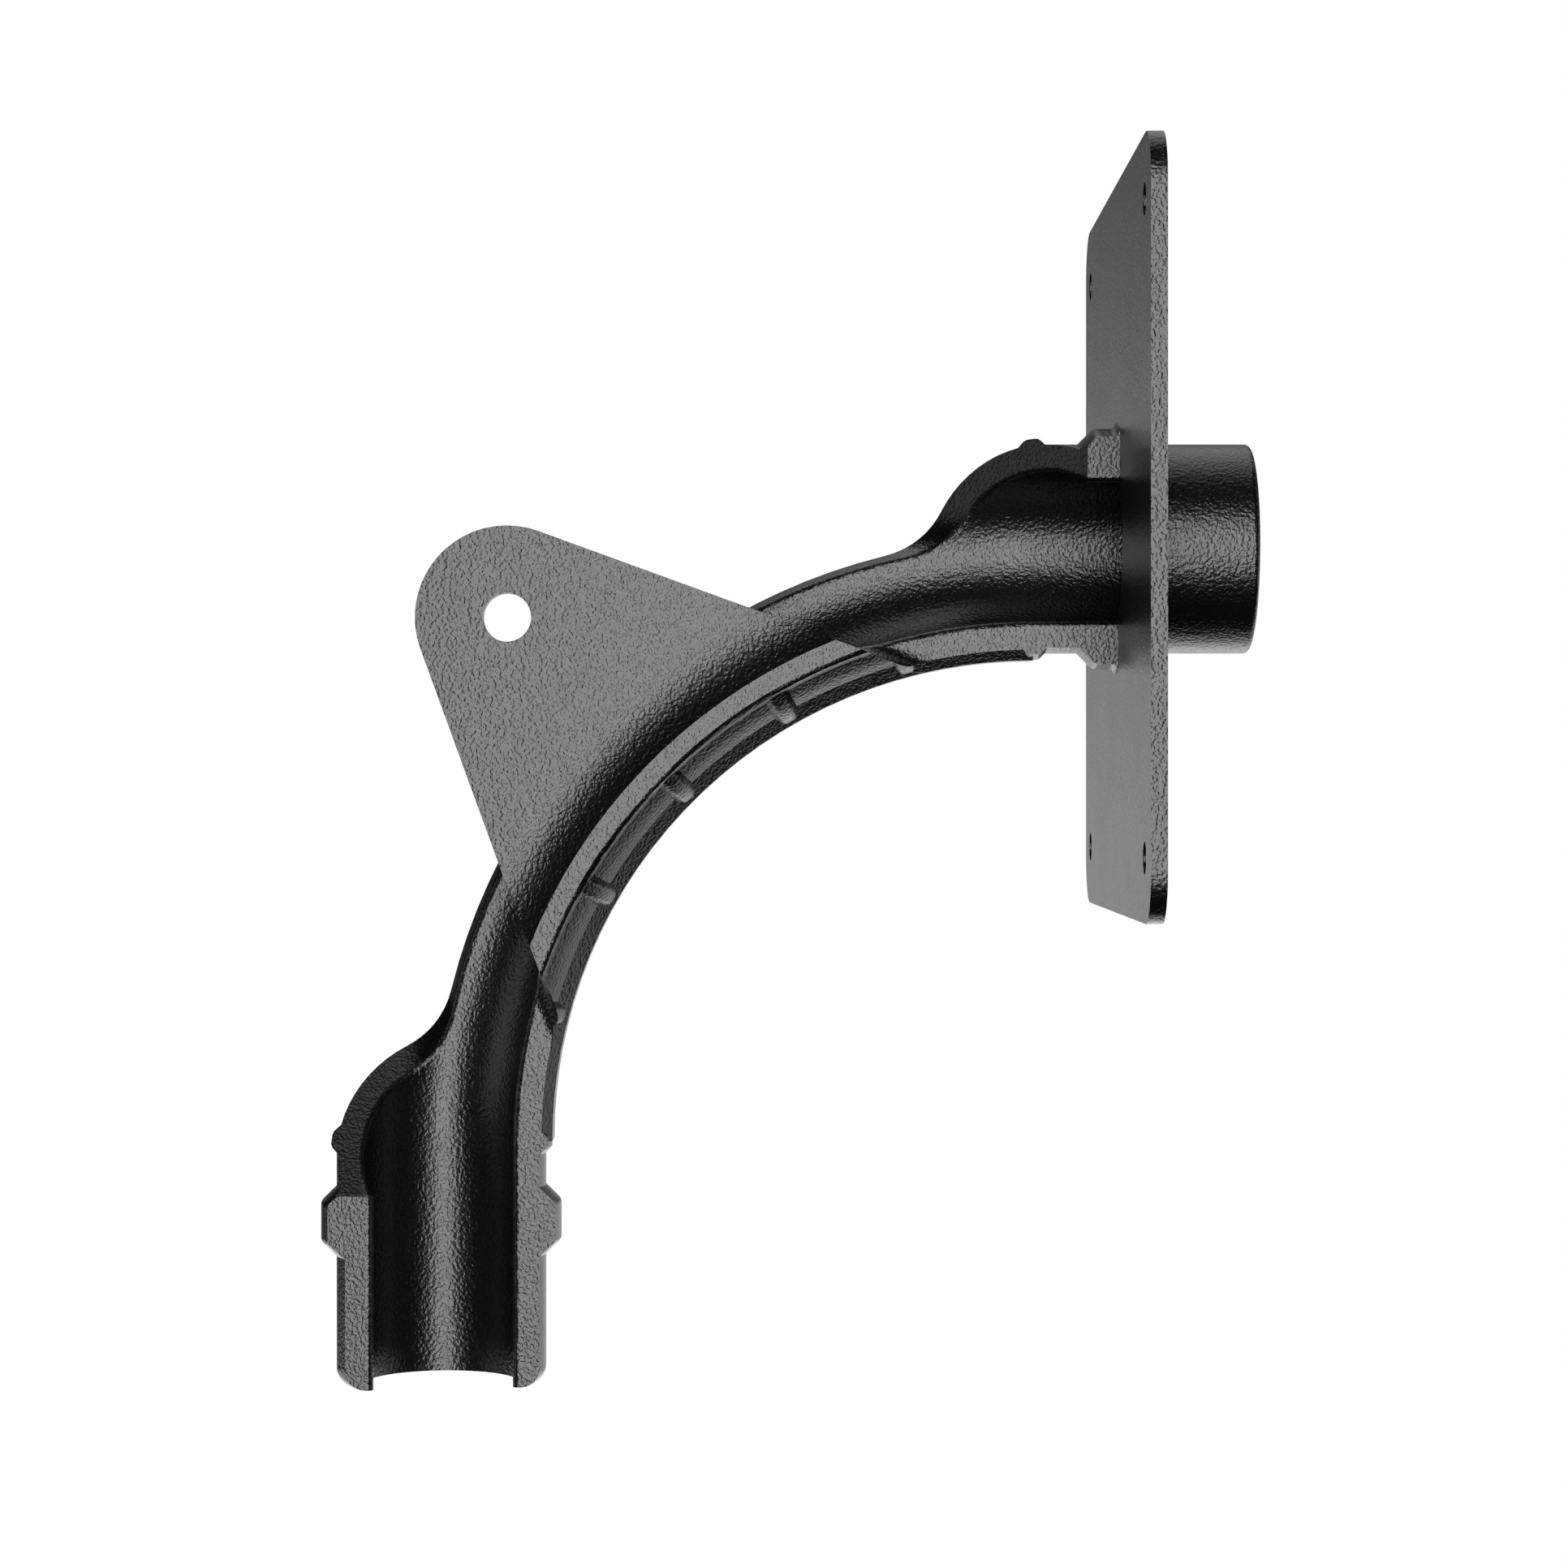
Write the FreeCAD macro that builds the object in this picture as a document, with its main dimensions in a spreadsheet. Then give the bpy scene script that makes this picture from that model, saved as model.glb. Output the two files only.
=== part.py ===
"""Pipe bend support: a one-piece moulded guide that turns a plastic pipe through 90 degrees.

The pipe climbs out of the floor in the lower leg, follows the bend and leaves through the
stub-out sleeve in front of the nail plate. The guide is a tube opened from two sides, so that
a mould can pull straight off it: both ends are rear shells, troughs open to the front, and the
middle is a front shell that grows into the three-cornered fixing ear.

Inside the document the bend centre is the origin, Y is the axis of the bend, the lower leg
starts at -X and the stub-out leg at +Z. The finished part is moved so that its origin is on the
sleeve's axis at the plate's outer face, with the sleeve along +X. All sizes are millimetres.
"""
import FreeCAD
import Part
import math
import os
import re
import Sketcher

NODE = "bend_support"

# Driving dimensions: alias, value, meaning.
SIZES = [
    ("bore_radius", 8.5, "channel for a 16 mm pipe"),
    ("wall", 3.0, "tube wall"),
    ("bend_radius", 65.0, "bend centre to pipe axis"),
    ("leg_length", 26.8, "bend start to the lower end"),
    ("leg_end_round", 2.0, "rounding of the lower end's outer edge"),
    ("neck_length", 9.2, "bend start to the plate's inner face"),
    ("sleeve_length", 12.9, "stub-out beyond the plate"),
    ("sleeve_round", 0.6, "rounding of the sleeve's end"),
    ("plate_side", 80.0, "square nail plate"),
    ("plate_thickness", 1.7, "nail plate"),
    ("plate_corner", 5.5, "corner radius of the nail plate"),
    ("plate_fillet", 0.8, "fillet between collar and plate"),
    ("nail_spacing", 66.7, "nail holes, centre to centre"),
    ("nail_hole", 3.4, "nail hole diameter"),
    ("collar_height", 1.7, "collar above the tube"),
    ("collar_start", 4.95, "bend start to the foot of the collar"),
    ("collar_crest", 4.2, "width of the collar's crest"),
    ("collar_round", 0.7, "rounding of the collar's shoulders"),
    ("bead_height", 0.7, "ring bead and ribs above the tube"),
    ("bead_crest", 1.4, "width of a bead's crest"),
    ("bead_round", 0.8, "rounding of a bead's crest"),
    ("rib_count", 7, "ribs on the inside of the bend, the two beads included"),
    ("rib_sweep", 94.0, "arc of a rib round the tube"),
    ("spine_height", 0.8, "spine along the inside of the bend above the tube"),
    ("spine_crest", 4.0, "width of the spine's crest"),
    ("spine_flank", 37.0, "slope of the spine's flanks"),
    ("band_front", 9.7, "band's face in front of the pipe plane"),
    ("band_edge", 8.65, "band's edge inwards of the pipe axis"),
    ("band_draft", 6.0, "draft of the band's side"),
    ("band_round", 0.6, "rounding of the band's edge"),
    ("ear_offset", 15.6, "pipe axis to the ear's hole"),
    ("ear_tip", 9.85, "radius of the ear's tip"),
    ("ear_slope", 25.0, "ear's edges to its middle line"),
    ("ear_thickness", 2.1, "ear plate"),
    ("ear_hole", 5.2, "screw hole diameter"),
    ("ear_fillet", 2.0, "fillet at the foot of the ear zone's side walls"),
    ("inner_lip", 3.5, "inner wall's face beyond the pipe plane"),
    ("outer_lip", 5.7, "outer wall's face beyond the pipe plane"),
    ("shoulder", 5.7, "bend start to the step of the outer wall"),
    ("ramp_angle", 45.0, "slope of the outer wall's ramp"),
    ("ramp_offset", 0.5, "depth of the ramp behind the pipe plane at the bend start"),
    ("ramp_round", 5.5, "fillet where the ramp meets the trough's edge"),
    ("trough_edge", 1.1, "trough's edge outwards of the pipe axis, at the bore"),
    ("trough_draft", 15.0, "slope of the trough's edge"),
    ("lip_round", 0.65, "rounding of the channel's edges"),
]

doc = FreeCAD.newDocument("PipeBendSupport")
sheet = doc.addObject("Spreadsheet::Sheet", "Sizes")


def fill_sheet():
    """Write the driving dimensions, and give each value its alias."""
    for row, (alias, value, meaning) in enumerate(SIZES, start=1):
        sheet.set(f"A{row}", alias)
        sheet.set(f"B{row}", str(value))
        sheet.set(f"C{row}", meaning)
        sheet.setAlias(f"B{row}", alias)
    doc.recompute()


def value(expression):
    """The number that an expression in the sheet's aliases gives."""
    return float(sheet.evalExpression(bind(expression)))


def bind(expression):
    """An expression in plain aliases, with each alias led to its cell."""
    names = {alias for alias, _, _ in SIZES}
    words = re.split(r"(\w+)", expression)
    return "".join(f"Sizes.{word}" if word in names else word for word in words)


def plane_of(body, role):
    """One of a body's own origin planes."""
    return next(plane for plane in body.Origin.OriginFeatures if plane.Role == role)


def new_sketch(body, name, role, offset=None, turn=0.0):
    """A sketch on an origin plane, lifted by an expression and turned in its plane."""
    sketch = body.newObject("Sketcher::SketchObject", name)
    sketch.AttachmentSupport = [(plane_of(body, role), "")]
    sketch.MapMode = "FlatFace"
    if turn:
        spin = FreeCAD.Rotation(FreeCAD.Vector(0, 0, 1), turn)
        sketch.AttachmentOffset = FreeCAD.Placement(FreeCAD.Vector(), spin)
    if offset:
        sketch.setExpression("AttachmentOffset.Base.z", bind(offset))
    return sketch


def tie(sketch, geometry, point, across=None, up=None):
    """Hold a point of a sketch at one or two expressions, measured from the sketch's origin."""
    for kind, expression in (("DistanceX", across), ("DistanceY", up)):
        if expression is not None:
            rule = Sketcher.Constraint(kind, -1, 1, geometry, point, value(expression))
            index = sketch.addConstraint(rule)
            sketch.setExpression(f"Constraints[{index}]", bind(expression))


def join(sketch, before, after):
    """Join the end of one side to the start of the next."""
    sketch.addConstraint(Sketcher.Constraint("Coincident", before, 2, after, 1))


def point_at(across, up):
    """The point that two expressions give."""
    return FreeCAD.Vector(value(across), value(up), 0)


def corner_arc(before, corner, after, radius):
    """The arc that rounds a corner, the points where it leaves its two sides, and its turn.

    The arc runs anticlockwise, as a sketch wants it, so it starts on the first side only where
    the outline turns left.
    """
    back = (before - corner).normalize()
    ahead = (after - corner).normalize()
    half = 0.5 * back.getAngle(ahead)
    leaves = [corner + side * (radius / math.tan(half)) for side in (back, ahead)]
    centre = corner + (back + ahead).normalize() * (radius / math.sin(half))
    turns_left = back.cross(ahead).z < 0
    ends = leaves if turns_left else leaves[::-1]
    start, stop = (math.atan2(end.y - centre.y, end.x - centre.x) for end in ends)
    if stop < start:
        stop += 2 * math.pi
    circle = Part.Circle(centre, FreeCAD.Vector(0, 0, 1), radius)
    return Part.ArcOfCircle(circle, start, stop), leaves, turns_left


def draw_outline(sketch, corners):
    """A closed outline of straight sides, its corners given as pairs of expressions.

    A third expression in a corner is the radius that rounds it.
    """
    points = [point_at(*corner[:2]) for corner in corners]
    count = len(points)
    arcs = {}
    for index, corner in enumerate(corners):
        if len(corner) == 3:
            ring = points[index - 1], points[index], points[(index + 1) % count]
            arcs[index] = corner_arc(*ring, value(corner[2]))
    first = sketch.GeometryCount
    for index, point in enumerate(points):
        following = (index + 1) % count
        start = arcs[index][1][1] if index in arcs else point
        end = arcs[following][1][0] if following in arcs else points[following]
        sketch.addGeometry(Part.LineSegment(start, end))
    for index, corner in enumerate(corners):
        before = first + (index - 1) % count
        after = first + index
        if index in arcs:
            arc, _, turns_left = arcs[index]
            round_corner(sketch, corner, (before, after), arc, turns_left)
        else:
            join(sketch, before, after)
            tie(sketch, after, 1, *corner)


def round_corner(sketch, corner, sides, arc, turns_left):
    """Put an arc between two sides whose common corner stays where it was."""
    before, after = sides
    bow = sketch.addGeometry(arc)
    ends = (1, 2) if turns_left else (2, 1)
    sketch.addConstraint(Sketcher.Constraint("Tangent", before, 2, bow, ends[0]))
    sketch.addConstraint(Sketcher.Constraint("Tangent", bow, ends[1], after, 1))
    index = sketch.addConstraint(Sketcher.Constraint("Radius", bow, value(corner[2])))
    sketch.setExpression(f"Constraints[{index}]", bind(corner[2]))
    mark = sketch.addGeometry(Part.Point(point_at(*corner[:2])), True)
    tie(sketch, mark, 1, *corner[:2])
    sketch.addConstraint(Sketcher.Constraint("PointOnObject", mark, 1, before))
    sketch.addConstraint(Sketcher.Constraint("PointOnObject", mark, 1, after))


def draw_circle(sketch, across, up, radius):
    """A circle whose centre and radius are expressions."""
    normal = FreeCAD.Vector(0, 0, 1)
    circle = sketch.addGeometry(Part.Circle(point_at(across, up), normal, value(radius)))
    tie(sketch, circle, 3, across, up)
    index = sketch.addConstraint(Sketcher.Constraint("Radius", circle, value(radius)))
    sketch.setExpression(f"Constraints[{index}]", bind(radius))


def draw_axis(sketch, start, end):
    """A construction line between two pairs of expressions, to turn a profile about."""
    line = sketch.addGeometry(Part.LineSegment(point_at(*start), point_at(*end)), True)
    tie(sketch, line, 1, *start)
    tie(sketch, line, 2, *end)


def pad(body, sketch, name, length, reverse=False, both_ways=False):
    """Extrude a sketch by an expression."""
    feature = body.newObject("PartDesign::Pad", name)
    feature.Profile = sketch
    feature.setExpression("Length", bind(length))
    feature.Reversed = reverse
    feature.Midplane = both_ways
    return feature


def pocket(body, sketch, name):
    """Cut a sketch through the whole body, both ways."""
    feature = body.newObject("PartDesign::Pocket", name)
    feature.Profile = sketch
    feature.Type = "ThroughAll"
    feature.Midplane = True
    return feature


def revolve(body, sketch, name, axis, angle, both_ways=False):
    """Turn a sketch about one of its axes by an expression in degrees."""
    feature = body.newObject("PartDesign::Revolution", name)
    feature.Profile = sketch
    feature.ReferenceAxis = (sketch, [axis])
    feature.setExpression("Angle", bind(angle))
    feature.Midplane = both_ways
    return feature


def edge_names(shape, wanted):
    """Names of the edges that a test picks out."""
    return [f"Edge{number}" for number, edge in enumerate(shape.Edges, start=1) if wanted(edge)]


def round_edges(body, base, name, radius, wanted):
    """Round the edges of a body's feature that a test picks out."""
    doc.recompute()
    feature = body.newObject("PartDesign::Fillet", name)
    feature.Base = (base, edge_names(base.Shape, wanted))
    feature.setExpression("Radius", bind(radius))
    doc.recompute()
    return feature


def is_circle(edge, radius):
    """Whether an edge is an arc of the given radius."""
    return isinstance(edge.Curve, Part.Circle) and abs(edge.Curve.Radius - value(radius)) < 1e-4


def ring_profile(start, height, crest, rounding, side):
    """Corners of a ring's section on the lower leg: a trapezoid with 45 degree flanks.

    start is the level where the upper flank leaves the tube, side is -1 for the outside of the
    bend. Both flanks run on into the tube's wall.
    """
    foot = f"{side} * ( bore_radius + 0.5 * wall ) - bend_radius"
    top = f"{side} * ( bore_radius + wall + {height} ) - bend_radius"
    return [
        (foot, f"{start} + 0.5 * wall"),
        (top, f"{start} - {height}", rounding),
        (top, f"{start} - {height} - {crest}", rounding),
        (foot, f"{start} - 2 * {height} - {crest} - 0.5 * wall"),
    ]


def on_the_neck(corners):
    """Corners on the lower leg, mirrored over the bend's diagonal to the stub-out leg."""
    return [(f"- ( {up} )", f"- ( {across} )", *rounding) for across, up, *rounding in corners]


def add_ring(body, name, corners, axis):
    """A ring turned all the way round a leg."""
    sketch = new_sketch(body, name + "Section", "XZ_Plane")
    draw_outline(sketch, corners)
    draw_axis(sketch, *axis)
    return revolve(body, sketch, name, "Axis0", "360")


def draw_tube_with_sheet(sketch):
    """The tube's section, with the ear's plate as a sheet that touches its front."""
    axis = "- bend_radius"
    reach = "- bend_radius - ear_offset - ear_tip - 1"
    front = "- bore_radius - wall"
    back = "- bore_radius - wall + ear_thickness"
    centre = point_at(axis, "0")
    tube = value("bore_radius + wall")
    rise = math.asin(-value(back) / tube)
    circle = Part.Circle(centre, FreeCAD.Vector(0, 0, 1), tube)
    arc_end = centre - tube * FreeCAD.Vector(math.cos(rise), math.sin(rise), 0)
    sides = [
        Part.LineSegment(point_at(reach, front), point_at(axis, front)),
        Part.ArcOfCircle(circle, -math.pi / 2, math.pi + rise),
        Part.LineSegment(arc_end, point_at(reach, back)),
        Part.LineSegment(point_at(reach, back), point_at(reach, front)),
    ]
    front_side, arc, back_side, rim = (sketch.addGeometry(side) for side in sides)
    join(sketch, front_side, arc)
    join(sketch, arc, back_side)
    join(sketch, back_side, rim)
    join(sketch, rim, front_side)
    tie(sketch, arc, 3, axis, "0")
    tie(sketch, front_side, 1, reach, front)
    tie(sketch, front_side, 2, axis, front)
    tie(sketch, back_side, 1, up=back)
    tie(sketch, back_side, 2, reach, back)


def build_tube():
    """The whole tube before it is opened: bend, legs, collars, beads, ribs, spine and bands."""
    body = doc.addObject("PartDesign::Body", "Tube")
    down_the_leg = (("- bend_radius", "0"), ("- bend_radius", "leg_length"))
    along_the_neck = (("0", "bend_radius"), ("leg_length", "bend_radius"))

    section = new_sketch(body, "BendSection", "XY_Plane")
    draw_tube_with_sheet(section)
    revolve(body, section, "Bend", "V_Axis", "90")
    add_spine(body)
    add_bands(body)

    leg = new_sketch(body, "LegSection", "XY_Plane")
    draw_circle(leg, "- bend_radius", "0", "bore_radius + wall")
    lower_leg = pad(body, leg, "LowerLeg", "leg_length", reverse=True)
    end_level = -value("leg_length")
    round_edges(
        body, lower_leg, "LowerLegEnd", "leg_end_round",
        lambda edge: is_circle(edge, "bore_radius + wall")
        and abs(edge.Curve.Center.z - end_level) < 1e-3,
    )

    neck = new_sketch(body, "NeckSection", "YZ_Plane")
    draw_circle(neck, "0", "bend_radius", "bore_radius + wall")
    pad(body, neck, "Neck", "neck_length + 0.5 * plate_thickness")

    collar = ring_profile("- collar_start", "collar_height", "collar_crest", "collar_round", -1)
    add_ring(body, "LowerCollar", collar, down_the_leg)
    into_plate = "neck_length + 0.5 * plate_thickness"
    foot = "bend_radius + bore_radius + 0.5 * wall"
    crest = "bend_radius + bore_radius + wall + collar_height"
    neck_collar = [
        ("collar_start - 0.5 * wall", foot),
        ("collar_start + collar_height", crest, "collar_round"),
        (into_plate, crest),
        (into_plate, foot),
    ]
    add_ring(body, "NeckCollar", neck_collar, along_the_neck)

    bead_start = "bead_height + 0.5 * bead_crest"
    bead = ring_profile(bead_start, "bead_height", "bead_crest", "bead_round", -1)
    add_ring(body, "LowerBead", bead, down_the_leg)
    add_ring(body, "NeckBead", on_the_neck(bead), along_the_neck)

    rib_section = new_sketch(body, "RibSection", "XZ_Plane")
    rib_profile = ring_profile(bead_start, "bead_height", "bead_crest", "bead_round", 1)
    draw_outline(rib_section, rib_profile)
    draw_axis(rib_section, *down_the_leg)
    rib = revolve(body, rib_section, "Rib", "Axis0", "rib_sweep", both_ways=True)
    ribs = body.newObject("PartDesign::PolarPattern", "Ribs")
    ribs.Originals = [rib]
    ribs.Axis = (section, ["V_Axis"])
    ribs.Angle = 90
    ribs.setExpression("Occurrences", bind("rib_count"))
    body.Tip = ribs
    doc.recompute()
    return body


def add_spine(body):
    """The spine along the inside of the bend."""
    spine = new_sketch(body, "SpineSection", "XY_Plane")
    inward = "bore_radius + wall + spine_height - bend_radius"
    root = "bore_radius + 0.5 * wall - bend_radius"
    half_root = "0.5 * spine_crest + ( 0.5 * wall + spine_height ) / tan( spine_flank )"
    draw_outline(spine, [
        (root, f"- ( {half_root} )"),
        (inward, "- 0.5 * spine_crest"),
        (inward, "0.5 * spine_crest"),
        (root, half_root),
    ])
    revolve(body, spine, "Spine", "V_Axis", "90")


def draw_band(sketch, side):
    """The flat band beside the tube's crown, on the front (-1) or the back (1)."""
    face = f"{side} * band_front"
    low = f"{side} * 0.6 * band_front"
    edge = "band_edge - bend_radius"
    slant = "0.4 * band_front * tan( band_draft )"
    root = "0.5 * band_edge - bend_radius"
    draw_outline(sketch, [
        (root, low),
        (f"{edge} + {slant}", low),
        (edge, face, "band_round"),
        (root, face),
    ])


def add_bands(body):
    """Both bands, turned along the bend."""
    for name, side in (("FrontBand", -1), ("BackBand", 1)):
        sketch = new_sketch(body, name + "Section", "XY_Plane")
        draw_band(sketch, side)
        revolve(body, sketch, name, "V_Axis", "90")


def draw_ear_plan(sketch):
    """The ear's outline in the turned sketch: two edges that meet in the rounded tip."""
    apex = "bend_radius + ear_offset + ear_tip / sin( ear_slope )"
    base = "0.25 * bend_radius"
    half_base = f"( {apex} - {base} ) * tan( ear_slope )"
    draw_outline(sketch, [
        (base, f"- {half_base}"),
        (apex, "0", "ear_tip"),
        (base, half_base),
    ])


def ear_sketch(body, name, offset=None):
    """A sketch whose own X axis is the ear's middle line."""
    return new_sketch(body, name, "XZ_Plane", offset=offset, turn=135)


def build_ear_plan():
    """The ear zone: a prism over the ear's outline, as deep as the part."""
    body = doc.addObject("PartDesign::Body", "EarZone")
    sketch = ear_sketch(body, "EarPlan")
    draw_ear_plan(sketch)
    pad(body, sketch, "EarPrism", "bend_radius", both_ways=True)
    return body


def is_ear_foot(edge, level):
    """Whether an edge runs along one of the ear's edges at a given depth."""
    ends = [vertex.Point for vertex in edge.Vertexes]
    if len(ends) < 2 or not isinstance(edge.Curve, Part.Line):
        return False
    if any(abs(end.y - level) > 1e-3 for end in ends):
        return False
    run = (ends[1] - ends[0]).normalize()
    middle = FreeCAD.Vector(-1, 0, 1).normalize()
    return abs(abs(run.dot(middle)) - math.cos(math.radians(value("ear_slope")))) < 1e-6


def build_front_opening():
    """What opens the inner half of the rear shells: all that lies in front of their lip."""
    body = doc.addObject("PartDesign::Body", "FrontOpening")
    sketch = new_sketch(body, "FrontPlan", "XZ_Plane", offset="inner_lip")
    radius = "bend_radius - 0.25 * bore_radius"
    reach = "2 * bend_radius"
    circle = Part.Circle(FreeCAD.Vector(), FreeCAD.Vector(0, 0, 1), value(radius))
    corners = [
        (f"- ( {radius} )", "0"),
        (f"- ( {radius} )", f"- {reach}"),
        (reach, f"- {reach}"),
        (reach, radius),
        ("0", radius),
    ]
    points = [point_at(*corner) for corner in corners]
    arc = sketch.addGeometry(Part.ArcOfCircle(circle, math.pi / 2, math.pi))
    sides = [sketch.addGeometry(Part.LineSegment(*ends)) for ends in zip(points, points[1:])]
    for before, after in zip([arc] + sides, sides):
        join(sketch, before, after)
    sketch.addConstraint(Sketcher.Constraint("Coincident", sides[-1], 2, arc, 1))
    tie(sketch, arc, 3, "0", "0")
    for side, corner in zip(sides, corners):
        tie(sketch, side, 1, *corner)
    tie(sketch, sides[-1], 2, across="0")
    pad(body, sketch, "FrontSlab", "bend_radius")
    ear = ear_sketch(body, "FrontEarPlan")
    draw_ear_plan(ear)
    notch = pocket(body, ear, "FrontEarNotch")
    level = -value("inner_lip")
    round_edges(body, notch, "FrontEarFoot", "ear_fillet", lambda edge: is_ear_foot(edge, level))
    return body


def build_back_opening():
    """What opens the inner half of the front shell: all of the ear zone behind its lip."""
    body = doc.addObject("PartDesign::Body", "BackOpening")
    sketch = ear_sketch(body, "BackPlan", offset="- inner_lip")
    draw_ear_plan(sketch)
    slab = pad(body, sketch, "BackSlab", "bend_radius", reverse=True)
    level = value("inner_lip")
    round_edges(body, slab, "BackEarFoot", "ear_fillet", lambda edge: is_ear_foot(edge, level))
    return body


def build_trough_cone(name, side):
    """A cone about the bend's axis that holds the shells' edge at the outer side.

    side is 1 for the rear shells, whose trough ends behind the pipe axis, and -1 for the front.
    """
    cone = doc.addObject("Part::Cone", name)
    depth = "sqrt( bore_radius ^ 2 - trough_edge ^ 2 )"
    reach = "0.5 * bend_radius"
    at_bore = "bend_radius + trough_edge"
    near = f"{at_bore} - ( {reach} + {depth} ) * tan( trough_draft )"
    wide = f"{at_bore} + ( {reach} - {depth} ) * tan( trough_draft )"
    cone.setExpression("Radius1", bind(near))
    cone.setExpression("Radius2", bind(wide))
    cone.setExpression("Height", bind(f"2 * {reach}"))
    turn = FreeCAD.Rotation(FreeCAD.Vector(1, 0, 0), -90 * side)
    cone.Placement = FreeCAD.Placement(FreeCAD.Vector(), turn)
    cone.setExpression("Placement.Base.y", bind(f"{-side} * {reach}"))
    return cone


def ramp_body(name, corners):
    """A prism across the lower leg's outer half, over an outline in depth and height."""
    body = doc.addObject("PartDesign::Body", name)
    sketch = new_sketch(body, name + "Profile", "YZ_Plane", offset="- 0.5 * bend_radius")
    draw_outline(sketch, corners)
    pad(body, sketch, name + "Prism", "bend_radius", reverse=True)
    return body


def build_lower_ramp(trough):
    """What opens the outer half of the lower rear shell: in front of its lip, step and ramp.

    The ramp's wedge is drawn longer than the ramp, so that its fillet along the trough's edge
    runs clear of the step, and is then cut off at the step.
    """
    far = "bend_radius"
    above = "2 * bend_radius"
    front = "( bore_radius + 0.25 * wall )"
    deep = "( bore_radius + 2 * wall )"
    lip = ramp_body("LipBlock", [
        (f"- {far}", f"- {far}"),
        ("- outer_lip", f"- {far}"),
        ("- outer_lip", "- shoulder"),
        ("- bore_radius", "- shoulder"),
        ("- bore_radius", above),
        (f"- {far}", above),
    ])
    wedge = ramp_body("RampWedge", [
        (f"- {front}", f"( - {front} - ramp_offset ) * tan( ramp_angle )"),
        (deep, f"( {deep} - ramp_offset ) * tan( ramp_angle )"),
        (deep, above),
        (f"- {front}", above),
    ])
    doc.recompute()
    wedge = boolean("Cut", "RampBesideTrough", [wedge, trough])
    slope = math.tan(math.radians(value("ramp_angle")))
    offset = value("ramp_offset")

    def is_trough_edge(edge):
        ends = [edge.valueAt(place) for place in (edge.FirstParameter, edge.LastParameter)]
        on_ramp = all(abs(end.z - (end.y - offset) * slope) < 1e-3 for end in ends)
        return on_ramp and not isinstance(edge.Curve, Part.Line)

    rounded = fillet(wedge, "RampRounded", "ramp_round", is_trough_edge)
    above_step = doc.addObject("Part::Box", "AboveStep")
    above_step.setExpression("Length", bind("4 * bend_radius"))
    above_step.setExpression("Width", bind("4 * bend_radius"))
    above_step.setExpression("Height", bind("4 * bend_radius"))
    above_step.setExpression("Placement.Base.x", bind("- 2 * bend_radius"))
    above_step.setExpression("Placement.Base.y", bind("- 2 * bend_radius"))
    above_step.setExpression("Placement.Base.z", bind("- shoulder"))
    doc.recompute()
    ramp = boolean("MultiCommon", "Ramp", [rounded, above_step])
    lip = boolean("Cut", "LipBesideTrough", [lip, trough])
    return boolean("MultiFuse", "LowerOpening", [lip, ramp])


def fillet(base, name, radius, wanted):
    """Round the edges of a Part object that a test picks out."""
    feature = doc.addObject("Part::Fillet", name)
    feature.Base = base
    size = value(radius)
    edges = [number for number, edge in enumerate(base.Shape.Edges, start=1) if wanted(edge)]
    feature.Edges = [(number, size, size) for number in edges]
    doc.recompute()
    return feature


def boolean(kind, name, parts):
    """A Part boolean of several objects: MultiFuse, MultiCommon, or Cut of two."""
    feature = doc.addObject("Part::" + kind, name)
    if kind == "Cut":
        feature.Base, feature.Tool = parts
    else:
        feature.Shapes = parts
    doc.recompute()
    return feature


def build_plate():
    """The nail plate and the stub-out sleeve.

    The plate's corners are rounded less where they would come too near the nail holes.
    """
    body = doc.addObject("PartDesign::Body", "PlateAndSleeve")
    plate = new_sketch(body, "PlateOutline", "YZ_Plane", offset="neck_length")
    low = "bend_radius - 0.5 * plate_side"
    high = "bend_radius + 0.5 * plate_side"
    near = "- 0.5 * plate_side"
    wide = "0.5 * plate_side"
    corners = [(near, low), (wide, low), (wide, high), (near, high)]
    nail_edge = "sqrt(2) * 0.5 * (plate_side - nail_spacing) - 0.5 * nail_hole"
    corner = f"min(plate_corner; ({nail_edge} - 0.5 * plate_thickness) / (sqrt(2) - 1))"
    draw_outline(plate, [(across, up, corner) for across, up in corners])
    for across in ("- 0.5 * nail_spacing", "0.5 * nail_spacing"):
        for up in ("bend_radius - 0.5 * nail_spacing", "bend_radius + 0.5 * nail_spacing"):
            draw_circle(plate, across, up, "0.5 * nail_hole")
    pad(body, plate, "NailPlate", "plate_thickness")
    end = new_sketch(body, "SleeveSection", "YZ_Plane", offset="neck_length + 0.5 * plate_thickness")
    draw_circle(end, "0", "bend_radius", "bore_radius + wall")
    sleeve = pad(body, end, "Sleeve", "sleeve_length + 0.5 * plate_thickness")
    mouth = value("neck_length + plate_thickness + sleeve_length")
    round_edges(
        body, sleeve, "SleeveEnd", "sleeve_round",
        lambda edge: is_circle(edge, "bore_radius + wall")
        and abs(edge.Curve.Center.x - mouth) < 1e-3,
    )
    return body


def build_channel():
    """The pipe's way through both legs and the bend."""
    body = doc.addObject("PartDesign::Body", "Channel")
    section = new_sketch(body, "ChannelSection", "XY_Plane")
    draw_circle(section, "- bend_radius", "0", "bore_radius")
    revolve(body, section, "ChannelBend", "V_Axis", "90")
    leg = new_sketch(body, "ChannelLegSection", "XY_Plane")
    draw_circle(leg, "- bend_radius", "0", "bore_radius")
    pad(body, leg, "ChannelLeg", "leg_length + wall", reverse=True)
    out = new_sketch(body, "ChannelSleeveSection", "YZ_Plane")
    draw_circle(out, "0", "bend_radius", "bore_radius")
    pad(body, out, "ChannelSleeve", "neck_length + plate_thickness + sleeve_length + wall")
    return body


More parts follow.
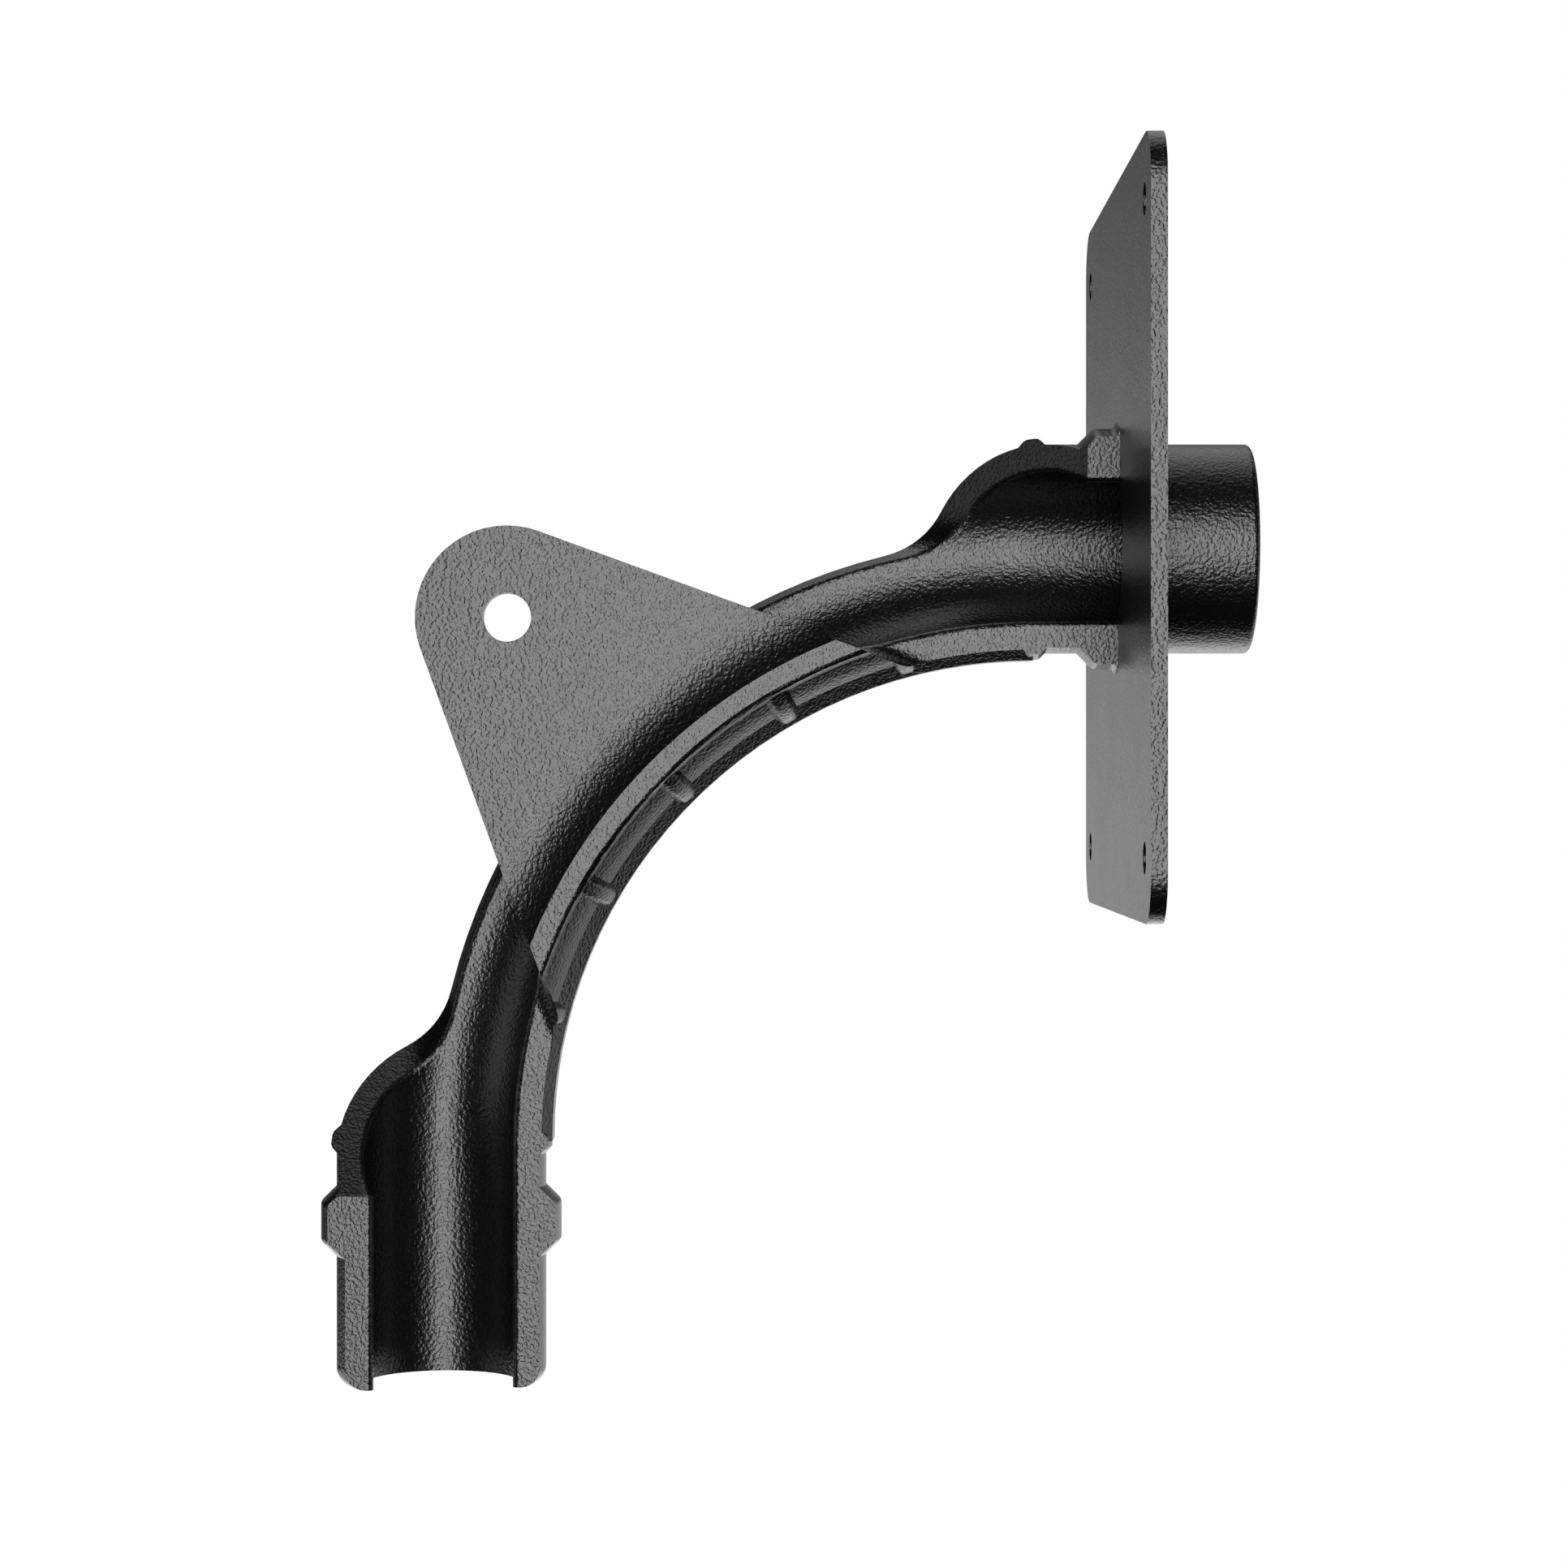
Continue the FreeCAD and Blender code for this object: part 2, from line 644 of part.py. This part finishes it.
def build_ear_hole():
    """The screw hole in the ear."""
    body = doc.addObject("PartDesign::Body", "EarHole")
    sketch = ear_sketch(body, "EarHoleSection")
    draw_circle(sketch, "bend_radius + ear_offset", "0", "0.5 * ear_hole")
    pad(body, sketch, "EarDrill", "bend_radius", both_ways=True)
    return body


def build_support():
    """Open the tube from both sides, add plate and sleeve, and clear the channel."""
    tube = build_tube()
    ear_zone = build_ear_plan()
    rear_cone = build_trough_cone("RearTrough", 1)
    front_cone = build_trough_cone("FrontTrough", -1)
    doc.recompute()

    lower_opening = build_lower_ramp(rear_cone)
    neck_opening = doc.addObject("Part::Mirroring", "NeckOpening")
    neck_opening.Source = lower_opening
    neck_opening.Normal = FreeCAD.Vector(1, 0, 1)
    doc.recompute()
    ends = boolean("Cut", "TubeEnds", [tube, ear_zone])
    openings = boolean("MultiFuse", "RearOpenings", [build_front_opening(), lower_opening, neck_opening])
    rear_shells = boolean("Cut", "RearShells", [ends, openings])

    behind_sheet = doc.addObject("Part::Box", "BehindSheet")
    behind_sheet.setExpression("Length", bind("4 * bend_radius"))
    behind_sheet.setExpression("Width", bind("bend_radius"))
    behind_sheet.setExpression("Height", bind("4 * bend_radius"))
    behind_sheet.setExpression("Placement.Base.x", bind("- 2 * bend_radius"))
    behind_sheet.setExpression("Placement.Base.y", bind("ear_thickness - bore_radius - wall"))
    behind_sheet.setExpression("Placement.Base.z", bind("- 2 * bend_radius"))
    doc.recompute()
    outer_back = boolean("Cut", "OuterBack", [behind_sheet, front_cone])
    middle = boolean("MultiCommon", "TubeMiddle", [tube, ear_zone])
    front_shell = boolean("Cut", "InnerFrontShell", [middle, build_back_opening()])
    front_shell = boolean("Cut", "FrontShell", [front_shell, outer_back])

    shells = boolean("MultiFuse", "Shells", [rear_shells, front_shell, build_plate()])
    shells.Refine = True
    drills = boolean("MultiFuse", "Drills", [build_channel(), build_ear_hole()])
    return boolean("Cut", "SharpSupport", [shells, drills])


def samples(edge):
    """Three points of an edge, near its ends and at its middle."""
    first = edge.FirstParameter
    span = edge.LastParameter - first
    return [edge.valueAt(first + share * span) for share in (0.02, 0.5, 0.98)]


def channel_distance(point):
    """How far a point is from the channel's axis."""
    radius = value("bend_radius")
    if point.z < 0:
        return math.hypot(point.x + radius, point.y)
    if point.x > 0:
        return math.hypot(point.z - radius, point.y)
    return math.hypot(math.hypot(point.x, point.z) - radius, point.y)


def round_lips(support):
    """Round the channel's edges: ramps and troughs first, then the inner and the outer lips."""
    bore = value("bore_radius")
    inner = -value("inner_lip")
    outer = -value("outer_lip")
    slope = math.tan(math.radians(value("ramp_angle")))
    offset = value("ramp_offset")

    def on_channel(edge):
        return all(abs(channel_distance(point) - bore) < 5e-3 for point in samples(edge))

    def at_depth(edge, depth):
        return all(abs(point.y - depth) < 1e-3 for point in samples(edge))

    def on_ramp(edge):
        points = samples(edge)
        lower = all(abs(point.z - (point.y - offset) * slope) < 2e-3 for point in points)
        upper = all(abs(-point.x - (point.y - offset) * slope) < 2e-3 for point in points)
        return lower or upper

    def is_free_curve(edge):
        return isinstance(edge.Curve, Part.BSplineCurve)

    def is_trough_lip(edge):
        behind = all(point.y > 0.75 * bore for point in samples(edge))
        return on_channel(edge) and (on_ramp(edge) or is_free_curve(edge) and behind)

    def is_inner_lip(edge):
        foot = all(outer < point.y < inner + 1e-3 for point in samples(edge))
        return on_channel(edge) and (at_depth(edge, inner) or is_free_curve(edge) and foot)

    def is_outer_lip(edge):
        return on_channel(edge) and isinstance(edge.Curve, Part.Line) and at_depth(edge, outer)

    support = fillet(support, "TroughLips", "lip_round", is_trough_lip)
    support = fillet(support, "InnerLips", "lip_round", is_inner_lip)
    return fillet(support, "OuterLips", "lip_round", is_outer_lip)


def round_plate_foot(support):
    """Round the corner between the neck's collar and the plate."""
    level = value("neck_length")

    def is_foot(edge):
        return is_circle(edge, "bore_radius + wall + collar_height") and all(
            abs(point.x - level) < 1e-3 for point in samples(edge))

    return fillet(support, "PlateFoot", "plate_fillet", is_foot)


def export(support):
    """Move the part to its own origin, check everything, and write its file."""
    support.Label = NODE
    support.setExpression("Placement.Base.x", bind("- neck_length - plate_thickness"))
    support.setExpression("Placement.Base.z", bind("- bend_radius"))
    doc.recompute()
    broken = [item.Name for item in doc.Objects if {"Invalid", "Error"} & set(item.State)]
    if broken:
        raise RuntimeError(f"features that failed: {broken}")
    shape = support.Shape
    if shape.isNull() or not shape.isValid() or len(shape.Solids) != 1:
        raise RuntimeError(f"{NODE} is not one valid solid")
    os.makedirs("parts", exist_ok=True)
    shape.exportStep(f"parts/{NODE}.step")


fill_sheet()
support = round_plate_foot(round_lips(build_support()))
export(support)
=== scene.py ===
"""Studio scene for the pipe bend support: its moulded black plastic, lamps, floor and camera.

Every length is in metres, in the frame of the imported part: the origin is on the sleeve's axis at
the nail plate's outer face, +X points out of the sleeve and +Z up.
"""
import logging
import math
from collections.abc import Iterable
from dataclasses import dataclass, field
from enum import Enum

import bpy
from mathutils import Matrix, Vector

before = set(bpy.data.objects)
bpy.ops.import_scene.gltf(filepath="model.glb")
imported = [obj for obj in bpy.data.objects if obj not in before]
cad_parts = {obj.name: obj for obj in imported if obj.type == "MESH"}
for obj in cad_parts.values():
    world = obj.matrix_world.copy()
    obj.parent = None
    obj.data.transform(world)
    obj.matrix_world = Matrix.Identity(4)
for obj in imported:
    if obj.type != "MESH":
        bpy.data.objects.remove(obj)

LOG = logging.getLogger("bend_support")

Point = tuple[float, float, float]
Colour = tuple[float, float, float]


class Side(Enum):
    """Where a lamp stands, as the direction from the part to the lamp."""

    FRONT = (0.0, -1.0, 0.05)
    TOP = (0.0, 0.40, 1.0)
    BELOW = (0.0, 0.90, -0.60)
    LEFT = (-1.0, -0.22, 0.0)
    RIGHT = (1.0, 0.0, 0.0)


@dataclass(frozen=True)
class Lamp:
    """A rectangular studio softbox that looks at the part."""

    side: Side
    distance: float
    width: float
    height: float
    power: float

    def light(self, target: Point) -> bpy.types.Object:
        """Put the softbox in the scene, turned to the target.

        Args:
            target: the point that it looks at.

        Returns:
            The lamp's object.
        """
        name = "softbox_" + self.side.name.lower()
        data = bpy.data.lights.new(name, "AREA")
        data.shape = "RECTANGLE"
        data.size = self.width
        data.size_y = self.height
        data.energy = self.power
        lamp = bpy.data.objects.new(name, data)
        away = Vector(self.side.value).normalized()
        lamp.location = Vector(target) + away * self.distance
        lamp.rotation_euler = (-away).to_track_quat("-Z", "Y").to_euler()
        bpy.context.collection.objects.link(lamp)
        return lamp


@dataclass(frozen=True)
class SparkGrain:
    """The fine pitted skin that a spark-eroded mould leaves on plastic."""

    pit_size: float = 0.00038
    pit_edge: tuple[float, float] = (0.25, 0.75)
    fine_size: float = 0.0002
    fine_share: float = 0.3
    cloud_size: float = 0.012
    grain_detail: float = 1.0
    cloud_detail: float = 3.0

    def group(self) -> bpy.types.NodeTree:
        """Build the grain once, as a node group.

        Its height is a noise of the pit's size, a little steeper between its tops and its pits,
        plus a weak fine noise. Its cloud is a broad noise that shifts gloss and colour a little.

        Returns:
            A group with the inputs Vector, Pit scale, Fine scale and Cloud scale, and the outputs
            Height and Cloud.
        """
        tree = bpy.data.node_groups.new("spark_grain", "ShaderNodeTree")
        tree.interface.new_socket("Vector", in_out="INPUT", socket_type="NodeSocketVector")
        for name, size in (("Pit scale", self.pit_size), ("Fine scale", self.fine_size),
                           ("Cloud scale", self.cloud_size)):
            socket = tree.interface.new_socket(name, in_out="INPUT", socket_type="NodeSocketFloat")
            socket.default_value = 1.0 / size
        for name in ("Height", "Cloud"):
            tree.interface.new_socket(name, in_out="OUTPUT", socket_type="NodeSocketFloat")
        entry = tree.nodes.new("NodeGroupInput")
        leave = tree.nodes.new("NodeGroupOutput")
        noises = {}
        for name, detail in (("Pit scale", self.grain_detail), ("Fine scale", self.grain_detail),
                             ("Cloud scale", self.cloud_detail)):
            noise = tree.nodes.new("ShaderNodeTexNoise")
            noise.inputs["Detail"].default_value = detail
            tree.links.new(entry.outputs["Vector"], noise.inputs["Vector"])
            tree.links.new(entry.outputs[name], noise.inputs["Scale"])
            noises[name] = noise
        pits = tree.nodes.new("ShaderNodeMapRange")
        pits.interpolation_type = "SMOOTHSTEP"
        for name, edge in zip(("From Min", "From Max"), self.pit_edge):
            pits.inputs[name].default_value = edge
        tree.links.new(noises["Pit scale"].outputs["Fac"], pits.inputs["Value"])
        blend = tree.nodes.new("ShaderNodeMath")
        blend.operation = "MULTIPLY_ADD"
        blend.inputs[1].default_value = self.fine_share
        tree.links.new(noises["Fine scale"].outputs["Fac"], blend.inputs[0])
        tree.links.new(pits.outputs["Result"], blend.inputs[2])
        tree.links.new(blend.outputs[0], leave.inputs["Height"])
        tree.links.new(noises["Cloud scale"].outputs["Fac"], leave.inputs["Cloud"])
        return tree


@dataclass(frozen=True)
class MouldedPlastic:
    """Black injection-moulded plastic with a spark-eroded grain."""

    dark: Colour = (0.0012, 0.0012, 0.0012)
    pale: Colour = (0.0021, 0.0021, 0.0021)
    refraction: float = 1.58
    gloss_low: float = 0.27
    gloss_high: float = 0.30
    bump_depth: float = 0.000036
    bump_strength: float = 1.0
    grain: SparkGrain = field(default_factory=SparkGrain)

    def material(self) -> bpy.types.Material:
        """Build the material.

        Returns:
            A material whose colour and roughness drift a little with the grain's cloud, and whose
            bump is the grain's height.
        """
        material = bpy.data.materials.new("black_moulded_plastic")
        material.use_nodes = True
        nodes = material.node_tree.nodes
        links = material.node_tree.links
        shader = nodes["Principled BSDF"]
        shader.inputs["IOR"].default_value = self.refraction
        place = nodes.new("ShaderNodeTexCoord")
        grain = nodes.new("ShaderNodeGroup")
        grain.node_tree = self.grain.group()
        links.new(place.outputs["Object"], grain.inputs["Vector"])
        colour = nodes.new("ShaderNodeMix")
        colour.data_type = "RGBA"
        colour.inputs["A"].default_value = (*self.dark, 1.0)
        colour.inputs["B"].default_value = (*self.pale, 1.0)
        links.new(grain.outputs["Cloud"], colour.inputs["Factor"])
        links.new(colour.outputs["Result"], shader.inputs["Base Color"])
        gloss = nodes.new("ShaderNodeMapRange")
        gloss.inputs["To Min"].default_value = self.gloss_low
        gloss.inputs["To Max"].default_value = self.gloss_high
        links.new(grain.outputs["Cloud"], gloss.inputs["Value"])
        links.new(gloss.outputs["Result"], shader.inputs["Roughness"])
        bump = nodes.new("ShaderNodeBump")
        bump.inputs["Strength"].default_value = self.bump_strength
        bump.inputs["Distance"].default_value = self.bump_depth
        links.new(grain.outputs["Height"], bump.inputs["Height"])
        links.new(bump.outputs["Normal"], shader.inputs["Normal"])
        return material


@dataclass
class BendSupport:
    """The one-piece moulding."""

    node: str = "bend_support"
    finish: MouldedPlastic = field(default_factory=MouldedPlastic)

    def dress(self) -> str:
        """Give the moulding its plastic.

        Returns:
            The node's name.
        """
        material = self.finish.material()
        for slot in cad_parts[self.node].material_slots:
            slot.material = material
        return self.node


@dataclass
class Studio:
    """Floor, world and softboxes, which are pale and plain.

    The camera sees white all round. The part's gloss sees that white behind and below the part.
    It sees a quarter of it above, next to none far to the left, and a dim room in front.
    """

    target: Point = (-0.04, 0.0, -0.03)
    floor_level: float = -0.75
    floor_width: float = 6.0
    floor_colour: Colour = (0.80, 0.80, 0.80)
    floor_roughness: float = 0.9
    floor_white: tuple[float, float] = (0.30, 0.50)
    ambient: float = 0.25
    room_level: float = 0.01
    white_from_y: tuple[float, float] = (0.0, 0.5)
    white_from_z: tuple[float, float] = (0.20, -0.04)
    white_from_x: tuple[float, float] = (-0.42, -0.12)
    least_above: float = 0.25
    least_left: float = 0.02
    lamps: tuple[Lamp, ...] = (
        Lamp(Side.FRONT, 0.75, 0.40, 0.80, 6.1),
        Lamp(Side.TOP, 0.80, 0.60, 0.90, 1.4),
        Lamp(Side.BELOW, 0.85, 0.80, 0.45, 1.3),
        Lamp(Side.LEFT, 0.80, 0.50, 0.60, 0.65),
        Lamp(Side.RIGHT, 0.80, 0.50, 0.60, 0.7),
    )

    @staticmethod
    def ramp(tree: bpy.types.NodeTree, value: bpy.types.NodeSocket, span: tuple[float, float],
             least: float = 0.0) -> bpy.types.NodeSocket:
        """A smooth step of a value.

        Args:
            tree: the node tree to build it in.
            value: the socket that gives the value.
            span: where the step starts and ends.
            least: the level before the step. The level after it is 1.

        Returns:
            The socket of the level.
        """
        step = tree.nodes.new("ShaderNodeMapRange")
        step.interpolation_type = "SMOOTHSTEP"
        for name, edge in zip(("From Min", "From Max"), span):
            step.inputs[name].default_value = edge
        step.inputs["To Min"].default_value = least
        tree.links.new(value, step.inputs["Value"])
        return step.outputs["Result"]

    @staticmethod
    def combine(tree: bpy.types.NodeTree, operation: str, first: bpy.types.NodeSocket,
                second: bpy.types.NodeSocket) -> bpy.types.NodeSocket:
        """Two values combined by a Math node.

        Args:
            tree: the node tree to build it in.
            operation: the Math node's operation.
            first: the socket of the first value.
            second: the socket of the second value.

        Returns:
            The socket of the result.
        """
        math_node = tree.nodes.new("ShaderNodeMath")
        math_node.operation = operation
        tree.links.new(first, math_node.inputs[0])
        tree.links.new(second, math_node.inputs[1])
        return math_node.outputs[0]

    def shown(self, tree: bpy.types.NodeTree,
              in_gloss: bpy.types.NodeSocket) -> tuple[bpy.types.NodeSocket, bpy.types.NodeSocket]:
        """What the background shows: white to the camera, and a level of it in the gloss.

        Args:
            tree: the node tree to build it in.
            in_gloss: the socket of the white's level in the gloss.

        Returns:
            The socket that is 1 for the rays that show the background, which are the camera,
            glossy and transmission rays, and the socket of its strength for them.
        """
        path = tree.nodes.new("ShaderNodeLightPath")
        seen = self.combine(tree, "MAXIMUM", path.outputs["Is Camera Ray"],
                            path.outputs["Is Transmission Ray"])
        glossy = self.combine(tree, "MULTIPLY", path.outputs["Is Glossy Ray"], in_gloss)
        return (self.combine(tree, "MAXIMUM", seen, path.outputs["Is Glossy Ray"]),
                self.combine(tree, "MAXIMUM", seen, glossy))

    def build_world(self) -> None:
        """White to the camera, white behind the part in its gloss, and dim elsewhere."""
        world = bpy.data.worlds.new("studio")
        world.use_nodes = True
        tree = world.node_tree
        background = tree.nodes["Background"]
        background.inputs["Color"].default_value = (1.0, 1.0, 1.0, 1.0)
        direction = tree.nodes.new("ShaderNodeTexCoord")
        parts = tree.nodes.new("ShaderNodeSeparateXYZ")
        tree.links.new(direction.outputs["Generated"], parts.inputs["Vector"])
        behind = self.ramp(tree, parts.outputs["Y"], self.white_from_y, self.room_level)
        below = self.ramp(tree, parts.outputs["Z"], self.white_from_z, self.least_above)
        right = self.ramp(tree, parts.outputs["X"], self.white_from_x, self.least_left)
        level = self.combine(tree, "MULTIPLY", behind,
                             self.combine(tree, "MULTIPLY", below, right))
        mask, strength = self.shown(tree, level)
        mix = tree.nodes.new("ShaderNodeMix")
        mix.inputs["A"].default_value = self.ambient
        tree.links.new(mask, mix.inputs["Factor"])
        tree.links.new(strength, mix.inputs["B"])
        tree.links.new(mix.outputs["Result"], background.inputs["Strength"])
        bpy.context.scene.world = world

    def build_floor(self) -> bpy.types.Object:
        """A flat square floor, white to the rays that show the background.

        Returns:
            The floor's object.
        """
        half = 0.5 * self.floor_width
        corners = [(-half, -half), (half, -half), (half, half), (-half, half)]
        mesh = bpy.data.meshes.new("floor")
        mesh.from_pydata([(x, y, self.floor_level) for x, y in corners], [], [(0, 1, 2, 3)])
        floor = bpy.data.objects.new("floor", mesh)
        bpy.context.collection.objects.link(floor)
        material = bpy.data.materials.new("floor")
        material.use_nodes = True
        tree = material.node_tree
        shader = tree.nodes["Principled BSDF"]
        shader.inputs["Base Color"].default_value = (*self.floor_colour, 1.0)
        shader.inputs["Roughness"].default_value = self.floor_roughness
        place = tree.nodes.new("ShaderNodeTexCoord")
        parts = tree.nodes.new("ShaderNodeSeparateXYZ")
        tree.links.new(place.outputs["Object"], parts.inputs["Vector"])
        behind = self.ramp(tree, parts.outputs["Y"], self.floor_white, self.room_level)
        mask, strength = self.shown(tree, behind)
        shine = tree.nodes.new("ShaderNodeEmission")
        tree.links.new(strength, shine.inputs["Strength"])
        mix = tree.nodes.new("ShaderNodeMixShader")
        tree.links.new(mask, mix.inputs["Fac"])
        tree.links.new(shader.outputs["BSDF"], mix.inputs[1])
        tree.links.new(shine.outputs["Emission"], mix.inputs[2])
        tree.links.new(mix.outputs["Shader"], tree.nodes["Material Output"].inputs["Surface"])
        mesh.materials.append(material)
        return floor

    def build(self) -> list[str]:
        """Build the floor, the world and the lamps.

        Returns:
            The names of what was built.
        """
        self.build_world()
        built = [self.build_floor().name]
        built += [lamp.light(self.target).name for lamp in self.lamps]
        return built


@dataclass(frozen=True)
class PhotoCamera:
    """The photograph's camera: level, and square to the pipe's plane.

    Its focal length is given in pixels of the square frame, and its near and far limits in metres.
    """

    place: Point = (-0.0382, -0.4113, -0.02586)
    frame_pixels: int = 1932
    focal_pixels: float = 4600.0
    sensor: float = 36.0
    nearest: float = 0.01
    farthest: float = 20.0

    def aim(self) -> bpy.types.Object:
        """Put the camera in the scene, looking along +Y.

        Returns:
            The camera's object.
        """
        data = bpy.data.cameras.new("camera")
        data.sensor_width = self.sensor
        data.lens = self.sensor * self.focal_pixels / self.frame_pixels
        data.clip_start = self.nearest
        data.clip_end = self.farthest
        camera = bpy.data.objects.new("camera", data)
        camera.location = self.place
        camera.rotation_euler = (math.pi / 2, 0.0, 0.0)
        bpy.context.collection.objects.link(camera)
        bpy.context.scene.camera = camera
        return camera


def main() -> None:
    """Dress the moulding, build the studio around it, and log the names of what was built."""
    logging.basicConfig(level=logging.INFO, format="%(message)s")
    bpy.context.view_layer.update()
    LOG.info("dressed %s", BendSupport().dress())
    for name in Studio().build():
        LOG.info("built %s", name)
    LOG.info("aimed %s", PhotoCamera().aim().name)
    bpy.context.scene.view_settings.view_transform = "Standard"


if __name__ == "__main__":
    main()
